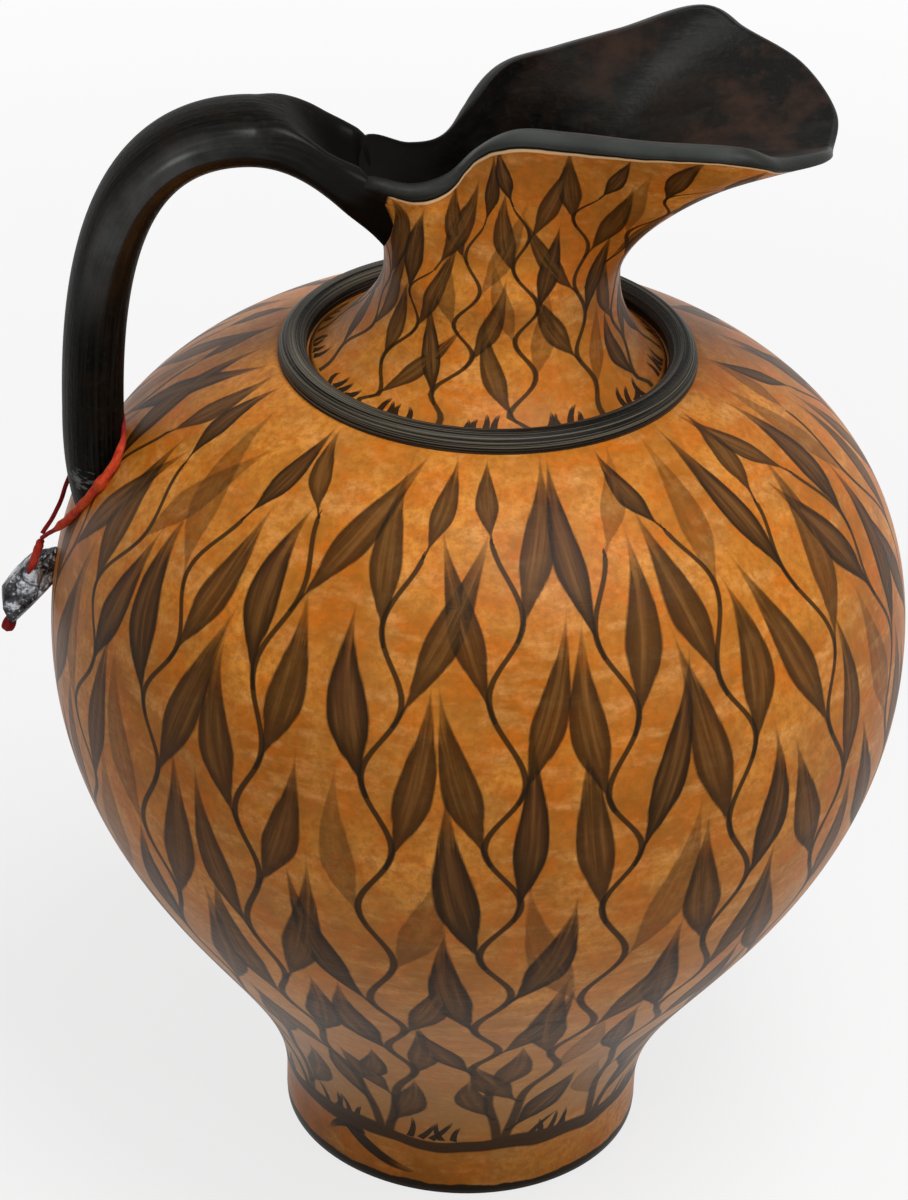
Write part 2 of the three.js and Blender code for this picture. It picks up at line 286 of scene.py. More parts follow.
class Finish(Tree):
    """A new material's tree, with its Principled shader and the place of each point."""

    def __init__(self, name):
        self.material = bpy.data.materials.new(name)
        self.material.use_nodes = True
        super().__init__(self.material.node_tree)
        self.shader = self.tree.nodes["Principled BSDF"]
        self.place = self.node("ShaderNodeTexCoord")["Object"]

    def wrap(self):
        """The distances along the piece and round it."""
        return self.node("ShaderNodeUVMap", uv_map="wrap")[0]

    def coat(self, color, roughness, gloss, height, depth):
        """Sets the colour, roughness, gloss and the relief, which is a height times a depth."""
        self.link(color, self.shader.inputs["Base Color"])
        self.link(roughness, self.shader.inputs["Roughness"])
        self.shader.inputs["Specular IOR Level"].default_value = gloss
        bump = self.node("ShaderNodeBump", {"Height": height, "Distance": depth})
        self.link(bump[0], self.shader.inputs["Normal"])


def cotton():
    """Fibres run along the strands. The doubled part is orange, and the thin ends dark crimson."""
    tree = Finish("red_cotton")
    fibres = tree.grain(tree.scaled(tree.wrap(), 900, 5200, 1), 1.0, 3)
    cloud = tree.grain(tree.place, 420, 3)
    thick = tree.stored("thick")["Fac"]
    bright = tree.tint(tree.ramp(cloud, 0.35, 0.7), thread_red, thread_orange)
    color = tree.tint(thick, thread_dark, bright)
    color = tree.tint(tree.ramp(fibres, 0.3, 0.75, 0.45, 0), color, thread_dark)
    tree.coat(color, tree.ramp(fibres, 0, 1, 0.65, 0.9), 0.2, fibres, 0.15 * mm)
    return tree.material


def thread_rings(path, radius):
    """Rings round the path whose outline has a bulge for each strand, which turn as they go."""
    tangent = unit(np.gradient(path, axis=0))
    side = unit(np.cross(tangent, (0.84, 0, -0.53)))
    raised = np.cross(tangent, side)
    angle = np.linspace(0, 2 * pi, thread_sides, endpoint=False)
    share = np.linspace(0, 1, len(path))[:, None]
    twist = np.cos(thread_strands * angle - 2 * pi * thread_turns * share)
    outline = radius[:, None] * (1 + strand_bulge * twist)
    return path[:, None] + outline[..., None] * (
        np.cos(angle)[None, :, None] * side[:, None] + np.sin(angle)[None, :, None] * raised[:, None]
    )


def point_values(piece, name, values):
    """Stores one number for each point of the piece."""
    attribute = piece.data.attributes.new(name, "FLOAT", "POINT")
    padded = np.zeros(len(piece.data.vertices))
    padded[: values.size] = values.ravel()
    attribute.data.foreach_set("value", padded)


cotton_finish = cotton()
loop_path = smooth_line(pivots["cord_swing"] + mm * np.array(loop_points), thread_count)
loop_share = np.linspace(0, 1, len(loop_path))
loop_thick = step(loop_share, 0.05, 0.09) * (1 - step(loop_share, 0.36, 0.46))
loop_radius = thread_thin + (thread_thick - thread_thin) * loop_thick
loop_lump = np.exp(-(((loop_share - lump_place) / lump_reach) ** 2))
loop_radius = loop_radius + lump_rise * loop_lump
seal_cord = ringed("red_thread", thread_rings(loop_path, loop_radius))
point_values(seal_cord, "thick", np.repeat(loop_thick, thread_sides))
seal_cord.data.materials.append(cotton_finish)
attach(seal_cord, "cord")
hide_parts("seal_cord")

# Seal
# A strip of lead folded round the thread below its knot and crimped, with the thread's ends coming
# out at its foot. It is dented all over, dull dark metal with bright patches, partly rubbed and partly
# painted glints, and painted shade darkening its folds.
seal_tilt = radians(20)
seal_length = 19.5 * mm
seal_width = 10.8 * mm
seal_depth = 7 * mm
knot_length = 3.4 * mm
knot_radius = 0.95 * mm
wrap_length = 4.5 * mm
end_length = 3 * mm
end_radius = 1.5 * mm
seal_gap = 0.3 * mm
seal_lift = 2.4 * mm
seal_more = 2.2 * mm
seal_aside = 0.7 * mm
seal_sides = 96
seal_count = 84
seal_dents = 34
dent_limits = (0.62, 0.88)
dent_press = 0.9
knot_flutes = 3
knot_flute = 0.13
knot_twist = 11
knot_aside = 0.6 * mm
end_drop = 0.9 * mm
end_more = 1.5 * mm
end_flutes = 5
end_flute = 0.12
lead_rubbed_glint = (0.50, 0.52, 0.55, 1)
lead_grey = (0.10, 0.10, 0.11, 1)
lead_dark = (0.014, 0.014, 0.016, 1)

seal_dice = np.random.default_rng(7)


def hanging(points):
    """Moves points from the seal's own upright frame to where it hangs, tilted off the belly."""
    x, y, z = points[..., 0], points[..., 1], points[..., 2]
    turned_x = x * np.cos(seal_tilt) + z * np.sin(seal_tilt)
    turned_z = z * np.cos(seal_tilt) - x * np.sin(seal_tilt)
    return pivots["seal_swing"] + np.stack([turned_x, y, turned_z], axis=-1)


def lump(profile, radius, top, span, sides, count):
    """Rings of a hanging lump, from its top down along a smooth line.

    The profile gives shares of the radius, and of the span below the top as numbers under zero.
    """
    line = smooth_line([(r * radius, 0, top + z * span) for r, z in profile], count)
    angle = -np.linspace(0, 2 * pi, sides, endpoint=False)
    height = np.broadcast_to(line[:, 2:], (count, sides))
    return np.stack([line[:, :1] * np.cos(angle), line[:, :1] * np.sin(angle), height], axis=-1)


def fluted(rings, flutes, depth, twist=0):
    """A lump with grooves down its sides, which turn by the twist from its top to its foot."""
    count, sides = rings.shape[:2]
    turn = np.linspace(0, 2 * pi, sides, endpoint=False) + np.linspace(0, twist, count)[:, None]
    swell = 1 + depth * np.sin(flutes * turn)
    return rings * np.stack([swell, swell, np.ones_like(swell)], axis=-1)


def crumpled(rings):
    """Dents a lump: past each of several planes, points are pressed back nearly to the plane.

    It is stretched afterwards to the box that it had.
    """
    low, high = rings.min((0, 1)), rings.max((0, 1))
    out = rings - (low + high) / 2
    for direction in unit(seal_dice.normal(size=(seal_dents, 3))):
        reach = out @ direction
        limit = reach.max() * seal_dice.uniform(*dent_limits)
        out = out - np.maximum(reach - limit, 0)[..., None] * dent_press * direction
    share = (out - out.min((0, 1))) / np.ptp(out, axis=(0, 1))
    return low + share * (high - low)


def crimped_lead():
    """Dark dull metal with a few bright patches, partly rubbed and partly painted glints, fine dents,
    and painted shade darkening the folds.
    """
    tree = Finish("crimped_lead")
    place = tree.place
    broad = tree.grain(place, 155, 3)
    fine = tree.grain(place, 1100, 4, 0.6)
    bend = (4 * mm, 4 * mm, 4 * mm)
    bent = tree.node("ShaderNodeVectorMath", [broad, bend], operation="MULTIPLY")[0]
    bent = tree.node("ShaderNodeVectorMath", [place, bent], operation="ADD")[0]
    cells = {"Vector": bent, "Scale": 230}
    folds = tree.node("ShaderNodeTexVoronoi", cells, feature="DISTANCE_TO_EDGE")["Distance"]
    rubbed = tree.plus(broad, tree.times(fine, 0.6))
    # Partly painted highlight: the brightest patches stand partly for rubbed lead and partly for glints.
    washes = (broad, 0.42, 0.58, 1, lead_grey), (rubbed, 0.83, 0.92, 1, lead_rubbed_glint)
    color = tree.washed(lead_dark, *washes)
    # Painted shade: the folds are darkened as if shade fell in them.
    color = tree.tint(tree.ramp(folds, 0.02, 0.09, 0.8, 0), color, lead_dark)
    relief = tree.plus(tree.ramp(folds, 0, 0.2), fine)
    tree.coat(color, tree.ramp(fine, 0.3, 0.7, 0.24, 0.45), 0.5, relief, 0.4 * mm)
    tree.shader.inputs["Metallic"].default_value = 0.85
    return tree.material


seal_top = -knot_length - seal_gap + seal_lift
seal_profile = [(0.35, 0), (0.75, -0.05), (1, -0.26), (0.92, -0.5), (0.56, -0.8), (0.38, -1)]
seal_span = seal_length + seal_more
seal_rings = lump(seal_profile, seal_width / 2, seal_top, seal_span, seal_sides, seal_count)
seal_rings[..., 1] *= seal_depth / seal_width
seal_rings[..., 0] += seal_aside
lead_seal = ringed("lead_seal_skin", hanging(crumpled(seal_rings)))
lead_seal.data.materials.append(crimped_lead())
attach(lead_seal, "seal")
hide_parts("lead_seal")

knot_profile = [(0.45, 0), (0.9, -0.1), (1, -0.3), (0.95, -0.6), (0.7, -0.85), (0.3, -1)]
knot_span = knot_length + wrap_length
knot_rings = lump(knot_profile, knot_radius, 0, knot_span, 32, 44)
knot_rings = fluted(knot_rings, knot_flutes, knot_flute, knot_twist)
knot_drop = np.clip(-knot_rings[..., 2] / knot_span, 0, 1)
knot_rings[..., 1] -= 0.5 * seal_depth * step(knot_drop, 0.1, 0.7)
knot_rings[..., 0] -= knot_aside * knot_drop
cord_knot = ringed("thread_knot", hanging(knot_rings))
point_values(cord_knot, "thick", np.broadcast_to(0.5 - 0.4 * knot_drop, knot_rings.shape[:2]))

end_top = seal_top - seal_length - end_drop
end_profile = [(0.6, 0), (0.9, -0.3), (1, -0.6), (0.85, -0.9), (0.5, -1)]
end_span = end_length + end_more
end_rings = lump(end_profile, end_radius, end_top, end_span, 28, 24)
end_rings = fluted(end_rings, end_flutes, end_flute)
thread_ends = ringed("thread_stubs", hanging(end_rings))
point_values(thread_ends, "thick", np.zeros(end_rings.shape[:2]))

for piece, cad_name in ((cord_knot, "cord_knot"), (thread_ends, "thread_ends")):
    piece.data.materials.append(cotton_finish)
    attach(piece, "seal")
    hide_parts(cad_name)

# Pot
# The foot, belly and shoulder are thrown in one, in red clay burnished to a satin skin. Sprays of
# leaves climb it in dark slip, from a ground line near the foot to the ring round the neck.
pot_sides = 384
lower_count = 400
upper_count = 300
outer_count = 178
inner_count = 26
pot_wall = 5 * mm
foot_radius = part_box("foot")[1].x
foot_edge = 1.2 * mm
foot_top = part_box("foot")[1].z
floor_thickness = 8 * mm
floor_top = foot_top + floor_thickness
belly_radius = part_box("lower_body")[1].x
belly_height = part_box("lower_body")[1].z
seat_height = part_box("upper_body")[1].z
ring_width = 3.3 * mm
ring_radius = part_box("collar_ring")[1].x - ring_width
seat_margin = 1 * mm
seat_radius = ring_radius + ring_width + seat_margin
hole_inset = 9.3 * mm
neck_hole = ring_radius - ring_width - hole_inset
foot_sweep = 43 * mm
belly_sweep_below = 62 * mm
belly_sweep_above = 28 * mm
shoulder_slope = radians(22)
shoulder_sweep = 45 * mm
ground_height = 18 * mm
ground_width = 2.1 * mm
base_edge = 3.4 * mm
spray_roots = 11
leaf_early = 0.25
last_early = 0.12
leaf_sizes = (0.86, 1.14)
leaf_bows = (0.25, 0.8)
leaf_margin = 0.3 * mm
least_fit = 0.3
stroke_half = 0.95 * mm
stroke_gaps = (2.1, 2.7)
stroke_lengths = (0.7, 1.2)
stroke_leans = (-0.3, 0.8)
stroke_bows = (0.3, 0.9)
stroke_shade = 1.5
far = 9.0
clay_gloss = 0.075
clay_light = (0.66, 0.255, 0.038, 1)
clay_deep = (0.31, 0.100, 0.009, 1)
clay_red = (0.50, 0.125, 0.008, 1)
clay_pale = (0.68, 0.33, 0.100, 1)
clay_foot_shade_and_sheen = (0.30, 0.160, 0.055, 1)
clay_stain = (0.24, 0.105, 0.022, 1)
slip_edge = (0.013, 0.006, 0.001, 1)
slip_core = (0.040, 0.016, 0.002, 1)
slip_streak = (0.130, 0.055, 0.013, 1)
slip_blush = (0.085, 0.028, 0.010, 1)

leaf_dice = np.random.default_rng(11)


def cubic(a, b, c, d, count):
    """Places on a cubic curve from the first of four points to the last, or on one for each column."""
    a, b, c, d = (np.asarray(point, float) for point in (a, b, c, d))
    t = np.linspace(0, 1, count).reshape(-1, *[1] * a.ndim)
    return (1 - t) ** 3 * a + 3 * (1 - t) ** 2 * t * b + 3 * (1 - t) * t**2 * c + t**3 * d


def turned(profile, sides, start=0.0):
    """Rings of a turned shape: each radius and height of the profile goes once round the Z axis."""
    angle = start + np.linspace(0, 2 * pi, sides, endpoint=False)
    radius, height = profile[:, :1], profile[:, 1:]
    flat = np.broadcast_to(height, (len(profile), sides))
    return np.stack([radius * np.cos(angle), radius * np.sin(angle), flat], axis=-1)


class Skin:
    """A painted surface: levels of points from its foot up, and the lengths between them."""

    def __init__(self, levels):
        self.levels = levels
        self.count, self.sides = levels.shape[:2]
        rises = np.linalg.norm(np.diff(levels, axis=0), axis=2)
        self.heights = np.concatenate([np.zeros((1, self.sides)), np.cumsum(rises, axis=0)])
        ahead, behind = np.roll(levels, -1, axis=1), np.roll(levels, 1, axis=1)
        self.widths = np.linalg.norm(ahead - behind, axis=2) / 2
        self.normals = unit(np.cross(ahead - behind, np.gradient(levels, axis=0)))
        corners = levels[:-1], ahead[:-1], ahead[1:], levels[1:]
        self.corners = np.stack(corners, axis=2)
        self.centres = self.corners.mean(2)

    def at(self, column, height, values):
        """A value at a distance up one column, between the two columns around it."""
        found = []
        for side in (int(np.floor(column)) % self.sides, int(np.floor(column) + 1) % self.sides):
            up = np.clip(height, 0, self.heights[-1, side])
            level = np.interp(up, self.heights[:, side], np.arange(self.count))
            low = min(int(level), self.count - 2)
            part = level - low
            found.append(values[low, side] * (1 - part) + values[low + 1, side] * part)
        share = column - np.floor(column)
        return found[0] * (1 - share) + found[1] * share


class Stem:
    """A wavy stem, which leaves its root, reaches its own column and swings from node to node.

    The swing is in columns, and is full after the nodes that settle counts. First is the side of
    the stem's first leaf, and spread is how far up the stem has reached its column. Width is half
    the stem's width at its root.
    """

    def __init__(self, column, root, nodes, swing, settle, first, spread, width):
        self.column, self.root, self.nodes = column, root, np.array(nodes)
        self.swing, self.settle, self.first = swing, settle, first
        self.spread, self.width = spread, width

    def column_at(self, height):
        """The column that the stem has reached at a height."""
        pace = np.interp(height, self.nodes, np.arange(len(self.nodes)))
        leave = step(height, self.nodes[0] - 0.3 * self.spread, self.nodes[0] + self.spread)
        middle = self.root + (self.column - self.root) * leave
        swing = self.swing * step(pace, 0, self.settle)
        return middle - self.first * swing * np.cos(pi * pace)

    def width_at(self, height):
        """Half the stem's width, which thins upwards and runs out at the last node."""
        share = (height - self.nodes[0]) / (self.nodes[-1] - self.nodes[0])
        width = self.width * (1 - 0.55 * np.clip(share, 0, 1) ** 0.7)
        width = width * np.clip((self.nodes[-1] - height) / (3 * mm), 0, 1)
        return np.where((share > 1) | (share < -0.004), 0, width) + 0.001 * mm


def leaf_frame(skin, base, tip, half, bow, shade):
    """A leaf's foot, its axes along it and across it in the surface, its bow and its shade."""
    foot, point = skin.at(*base, skin.levels), skin.at(*tip, skin.levels)
    normal = unit(skin.at((base[0] + tip[0]) / 2, (base[1] + tip[1]) / 2, skin.normals))
    length = np.linalg.norm(point - foot)
    along = (point - foot) / length
    across = unit(np.cross(normal, along))
    return np.concatenate([foot, along / length, across / half, [bow, shade]])


def leaf_place(leaves, points):
    """Where points lie on leaves: the share of the length, and the half widths off the bowed rib."""
    away = points - leaves[..., :3]
    along = (away * leaves[..., 3:6]).sum(-1)
    bowed = leaves[..., 9] * 4 * along * (1 - along)
    across = (away * leaves[..., 6:9]).sum(-1) - bowed
    return along, across


def leafy(skin, stems, leaf_size, lean):
    """Leaves on each stem's nodes, by turns to either side.

    A leaf leaves the stem just before the node, while the stem still swings outwards, and bows
    outwards. leaf_size gives its length and half width at a height, and lean its least and most
    angle off the upright there.
    """
    leaves = []
    for stem in stems:
        for k in range(1, len(stem.nodes)):
            side = stem.first * (-1) ** (k + 1)
            early = leaf_early if k + 1 < len(stem.nodes) else last_early
            low = stem.nodes[k] - early * (stem.nodes[k] - stem.nodes[k - 1])
            length, half = leaf_size(low)
            length = length * leaf_dice.uniform(*leaf_sizes)
            half = half * leaf_dice.uniform(*leaf_sizes)
            column = stem.column_at(low)
            gap = skin.at(column, low + 0.6 * length, skin.widths)
            top = skin.at(column, far, skin.heights) - leaf_margin
            angle = leaf_dice.uniform(*lean(low))
            fit = min(1, (top - low) / (length * np.cos(angle)))
            if fit < least_fit:
                continue
            length, half = length * fit, half * fit**0.6
            tip = (column + side * length * np.sin(angle) / gap, low + length * np.cos(angle))
            bow = side * leaf_dice.uniform(*leaf_bows)
            shade = leaf_dice.uniform(0, 1)
            leaves.append(leaf_frame(skin, (column, low), tip, half, -bow, shade))
    return leaves


def tuft(skin, column, height, count, size):
    """A few short hooked strokes side by side, which lean one way."""
    strokes = []
    for i in range(count):
        gap = skin.at(column, height, skin.widths)
        foot = column + (i - (count - 1) / 2) * leaf_dice.uniform(*stroke_gaps) * mm / gap
        length = size * leaf_dice.uniform(*stroke_lengths)
        lean = leaf_dice.uniform(*stroke_leans) * length / gap
        bow = leaf_dice.uniform(*stroke_bows) * leaf_dice.choice([-1, 1])
        tip = (foot + lean, height + length)
        strokes.append(leaf_frame(skin, (foot, height), tip, stroke_half, bow, stroke_shade))
    return strokes


def store(piece, first, name, value):
    """Writes three numbers for each corner from the first painted one on, and far-off ones elsewhere."""
    attribute = piece.data.attributes.new(name, "FLOAT_VECTOR", "CORNER")
    flat = np.full((len(piece.data.loops), 3), far)
    flat[first:][: value.size // 3] = value.reshape(-1, 3)
    attribute.data.foreach_set("vector", flat.ravel())


def paint(piece, skin, leaves, stems, unpainted):
    """Stores on each face's corners where they lie on the two nearest leaves and stems.

    Unpainted is the count of faces that come before the painted ones.
    A leaf's nearness is how far the face's middle is outside its outline. A stem's is its distance
    across the surface, in half widths of the stem, which changes sign from one side to the other.
    """
    shape = skin.centres.shape[:2]
    best = np.full((2, *shape), far)
    chosen = np.full((2, *shape), -1)
    for index, leaf in enumerate(leaves):
        length = 1 / np.linalg.norm(leaf[3:6])
        rows, columns = np.nonzero(np.linalg.norm(skin.centres - leaf[:3], axis=-1) < 1.2 * length)
        along, across = leaf_place(leaf[None], skin.centres[rows, columns])
        blade = step(along, 0, 0.42) * (1 - step(along, 0.4, 1.06))
        outside = np.abs(across) - blade + 3 * np.maximum(np.abs(along - 0.5) - 0.5, 0)
        nearest = outside < best[0, rows, columns]
        first = rows[nearest], columns[nearest]
        second = rows[~nearest], columns[~nearest]
        best[1][first], chosen[1][first] = best[0][first], chosen[0][first]
        best[0][first], chosen[0][first] = outside[nearest], index
        closer = outside[~nearest] < best[1][second]
        second = second[0][closer], second[1][closer]
        best[1][second], chosen[1][second] = outside[~nearest][closer], index
    for place, name in ((1, "leaf_under"), (0, "leaf_over")):
        known = chosen[place] >= 0
        leaf = leaves[np.maximum(chosen[place], 0)][:, :, None]
        along, across = leaf_place(leaf, skin.corners)
        shade = np.broadcast_to(leaf[..., 10], along.shape)
        across = np.where(known[..., None], across, far)
        store(piece, 4 * unpainted, name, np.stack([along, across, shade], axis=-1))
    gaps = []
    for stem in stems:
        gap = np.arange(skin.sides) - stem.column_at(skin.heights)
        gap = (gap + skin.sides / 2) % skin.sides - skin.sides / 2
        gap = gap * skin.widths / stem.width_at(skin.heights)
        ahead = np.roll(gap, -1, axis=1)
        gaps.append(np.stack([gap[:-1], ahead[:-1], ahead[1:], gap[1:]], axis=2))
    gaps = np.array(gaps)
    order = np.argsort(np.abs(gaps).max(3), axis=0)[:2]
    near, next_near = np.take_along_axis(gaps, order[..., None], axis=0)
    store(piece, 4 * unpainted, "stems", np.stack([near, next_near, 0 * near], axis=-1))


# The outline is an arc round the foot's edge, a cubic curve up to the belly, and one from there to
# the ring's seat. The inside lies a wall's thickness off it, square to it, and ends on the floor.
lower_curve = cubic(
    (foot_radius, foot_top),
    (foot_radius, foot_top + foot_sweep),
    (belly_radius, belly_height - belly_sweep_below),
    (belly_radius, belly_height),
    lower_count,
)
shoulder_end = np.array([np.cos(shoulder_slope), -np.sin(shoulder_slope)]) * shoulder_sweep
upper_curve = cubic(
    (belly_radius, belly_height),
    (belly_radius, belly_height + belly_sweep_above),
    (seat_radius + shoulder_end[0], seat_height + shoulder_end[1]),
    (seat_radius, seat_height),
    upper_count,
)
edge_angle = np.linspace(-pi / 2, 0, 6)[:, None]
edge_arc = foot_edge * np.concatenate([np.cos(edge_angle), np.sin(edge_angle)], axis=1)
edge_curve = np.array([foot_radius - foot_edge, foot_edge]) + edge_arc
outer_curve = evenly(np.concatenate([edge_curve, lower_curve, upper_curve[1:]]), outer_count)
slope = unit(np.gradient(outer_curve, axis=0))
inner_curve = outer_curve + pot_wall * np.stack([-slope[:, 1], slope[:, 0]], axis=1)
hollow = (inner_curve[:, 1] > floor_top) & (inner_curve[:, 0] > neck_hole)
inner_curve = evenly(inner_curve[hollow], inner_count)
pot_under = [(0.25 * foot_radius, 0), (0.8 * foot_radius, 0)]
pot_profile = np.concatenate(
    [
        pot_under,
        outer_curve,
        [(neck_hole, seat_height), (neck_hole, inner_curve[-1, 1])],
        inner_curve[::-1],
        [(inner_curve[0, 0] - 2 * mm, floor_top), (0.3 * foot_radius, floor_top)],
    ]
)
pot = ringed("painted_pot", turned(pot_profile, pot_sides))
pot_skin = Skin(turned(outer_curve, pot_sides))


def pot_leaf(height):
    """Leaves are shorter near the foot, long on the belly and slender on the shoulder."""
    grow = step(height, 18 * mm, 75 * mm)
    narrow = step(height, 150 * mm, 235 * mm)
    return mm * (28 + 17 * grow), mm * (4.1 + 0.5 * grow - 0.7 * narrow)


def pot_lean(height):
    """Leaves lean a little, and somewhat more near the foot."""
    return 0.04, 0.36 + 0.14 * (1 - step(height, 22 * mm, 75 * mm))


def pot_stem(column, root, outward, number):
    """A stem whose nodes are further apart as it climbs, with its first leaf on the outward side."""
    nodes = [ground_height]
    height = ground_height + mm * (6 if number % 2 else 13)
    while height < pot_skin.heights[-1, 0] - 17 * mm:
        nodes.append(height)
        pitch = 14 + 2.5 * step(height, 30 * mm, 80 * mm) + 1.5 * step(height, 150 * mm, 220 * mm)
        height = height + pitch * mm * leaf_dice.uniform(*leaf_sizes)
    spacing = pot_sides / (2 * spray_roots)
    swing = leaf_dice.uniform(0.09, 0.15) * spacing
    return Stem(column, root, nodes, swing, 4, outward, 42 * mm, 1.45 * mm)


root_gap = pot_sides / spray_roots
pot_stems = []
pot_leaves = []
for i in range(spray_roots):
    root = (i + leaf_dice.uniform(0.38, 0.62)) * root_gap
    for outward in (-1, 1):
        column = (i + 0.5 + outward * 0.25 + leaf_dice.uniform(-0.04, 0.04)) * root_gap
        pot_stems.append(pot_stem(column, root, outward, len(pot_stems)))
    pot_leaves += tuft(pot_skin, root + 0.47 * root_gap, ground_height + 0.6 * mm, 5, 7 * mm)
pot_leaves += leafy(pot_skin, pot_stems, pot_leaf, pot_lean)

# Two strokes fork below the ground line. Places are millimetres along the line and up.
twig_column = pot_sides * 229 / 360
twigs = [
    ((-2, 17.5), (18, 6.5), 2.3, -0.9),
    ((4, 15.5), (-7, 10), 1.8, -1.0),
]
for base, tip, half, bow in twigs:
    column_gap = pot_skin.at(twig_column, base[1] * mm, pot_skin.widths)
    start = (twig_column + base[0] * mm / column_gap, base[1] * mm)
    end = (twig_column + tip[0] * mm / column_gap, tip[1] * mm)
    pot_leaves.append(leaf_frame(pot_skin, start, end, half * mm, bow, stroke_shade))
paint(pot, pot_skin, np.array(pot_leaves), pot_stems, len(pot_under) * pot_sides)


def group(name, inputs, outputs):
    """An empty node group with named inputs and outputs, and its two end nodes."""
    made = bpy.data.node_groups.new(name, "ShaderNodeTree")
    for way, sockets in (("INPUT", inputs), ("OUTPUT", outputs)):
        for socket, kind in sockets.items():
            made.interface.new_socket(socket, in_out=way, socket_type="NodeSocket" + kind)
    given = made.nodes.new("NodeGroupInput").outputs
    return Tree(made), given, made.nodes.new("NodeGroupOutput").inputs


def burnished_clay():
    """Mottled clay: broad clouds, small patches and freckles, and pale rubs along the wheel's way.

    It is browner and duller towards the foot, a painted shade with a painted sheen from the pale floor.
    """
    outputs = {"Color": "Color", "Height": "Float"}
    tree, given, result = group("burnished_clay", {"Place": "Vector"}, outputs)
    place = given["Place"]
    clouds = tree.grain(place, 30, 5, 0.62)
    patches = tree.grain(place, 110, 5, 0.66)
    freckles = tree.grain(place, 560, 6, 0.72)
    rubs = tree.grain(tree.scaled(place, 70, 70, 240), 1.0, 5, 0.62)
    level = tree.parts(place)[2]
    stains = tree.grain(place, 62, 5, 0.7)
    color = tree.washed(
        clay_deep,
        (clouds, 0.38, 0.64, 1, clay_light),
        (patches, 0.45, 0.6, 0.8, clay_red),
        (rubs, 0.5, 0.7, 0.65, clay_pale),
        (stains, 0.5, 0.68, 0.5, clay_stain),
        (freckles, 0.44, 0.62, 0.62, clay_deep),
    )
    # Painted shade and sheen: towards the foot the clay is tinted browner and duller, less so on the
    # foot's band.
    foot_shade_fade = tree.ramp(level, 25 * mm, 140 * mm, 0.7, 0)
    dull = tree.times(foot_shade_fade, tree.ramp(level, 10 * mm, 26 * mm, 0.1, 1))
    color = tree.tint(dull, color, clay_foot_shade_and_sheen)
    tree.link(color, result["Color"])
    height = tree.plus(tree.times(rubs, 1.4), tree.times(freckles, 0.5))
    tree.link(height, result["Height"])
    return tree


def brushed_leaf():
    """One leaf or stroke, from where a point lies on it.

    A leaf swells from a thin stalk to its widest before the middle, then narrows to a drawn-out
    tip. A stroke, whose shade is over 1, is a wedge. Core is 0 at the outline and 1 well inside.
    """
    outputs = dict.fromkeys(("Cover", "Core", "Streak", "Shade", "Along"), "Float")
    tree, given, result = group("brushed_leaf", {"Place": "Vector"}, outputs)
    along, across, shade = tree.parts(given["Place"])
    swell = tree.times(tree.eased(along, 0, 0.42), tree.eased(along, 0.4, 1.06, 1, 0))
    outline = tree.most(swell, tree.ramp(along, 0.2, 0.3, 0.13, 0))
    wedge = tree.math("POWER", tree.math("SUBTRACT", 1.0, along, clamp=True), 0.4)
    is_stroke = tree.math("GREATER_THAN", shade, 1.0)
    outline = tree.node("ShaderNodeMix", [is_stroke, None, outline, wedge])[0]
    stretch = [given["Place"], (1.3, 3.4, 37.0)]
    stretched = tree.node("ShaderNodeVectorMath", stretch, operation="MULTIPLY")[0]
    streak = tree.grain(stretched, 1.0, 4, 0.6)
    edge = tree.plus(outline, tree.spread(streak, 0.05))
    depth = tree.math("SUBTRACT", edge, tree.math("ABSOLUTE", across))
    cover = tree.ramp(depth, -0.03, 0.09)
    cover = tree.times(cover, tree.math("GREATER_THAN", along, -0.02))
    ragged = tree.plus(along, tree.spread(streak, 0.12))
    cover = tree.times(cover, tree.ramp(ragged, 0.72, 1.06, 1, 0.3))
    core = tree.times(tree.eased(depth, 0.08, 0.62), tree.math("LESS_THAN", shade, 1.0))
    for name, value in zip(outputs, (cover, core, streak, shade, along)):
        tree.link(value, result[name])
    return tree


def brushwork():
    """All the painting on a surface: two stems, then two leaves over them, in thin dark slip."""
    inputs = {"Clay": "Color", "Under": "Vector", "Over": "Vector", "Stems": "Vector"}
    tree, given, result = group("brushwork", inputs, {"Color": "Color", "Cover": "Float"})
    first, second, _ = tree.parts(given["Stems"])
    nearest = tree.math("MINIMUM", tree.math("ABSOLUTE", first), tree.math("ABSOLUTE", second))
    total = tree.ramp(nearest, 0.7, 1.15, 0.97, 0)
    color = tree.tint(total, given["Clay"], slip_core)
    for name in ("Under", "Over"):
        leaf = tree.placed(leaf_group, {"Place": given[name]})
        faint = tree.ramp(leaf["Shade"], 0.1, 0.12, 0.5, 0.9)
        opaque = tree.most(faint, tree.ramp(leaf["Shade"], 0.35, 0.6, 0, 0.97))
        cover = tree.times(leaf["Cover"], opaque)
        middle = tree.times(tree.eased(leaf["Along"], 0.1, 0.4), leaf["Core"])
        warm = tree.ramp(leaf["Along"], 0.3, 0.8)
        warm = tree.times(warm, tree.ramp(leaf["Shade"], 0.4, 0.9))
        inner = tree.tint(warm, slip_core, slip_blush)
        light = tree.times(tree.ramp(leaf["Streak"], 0.42, 0.66), middle)
        inner = tree.tint(light, inner, slip_streak)
        color = tree.tint(cover, color, tree.tint(leaf["Core"], slip_edge, inner))
        total = tree.most(total, cover)
    tree.link(color, result["Color"])
    tree.link(total, result["Cover"])
    return tree


leaf_group = brushed_leaf()
clay_group = burnished_clay()
brush_group = brushwork()


def painted(tree):
    """The clay with its leaves and stems: colour, cover and height."""
    clay = tree.placed(clay_group, {"Place": tree.place})
    inputs = {"Clay": clay["Color"]}
    for name, stored in (("Under", "leaf_under"), ("Over", "leaf_over"), ("Stems", "stems")):
        inputs[name] = tree.stored(stored)["Vector"]
    brushed = tree.placed(brush_group, inputs)
    return brushed["Color"], brushed["Cover"], clay["Height"]


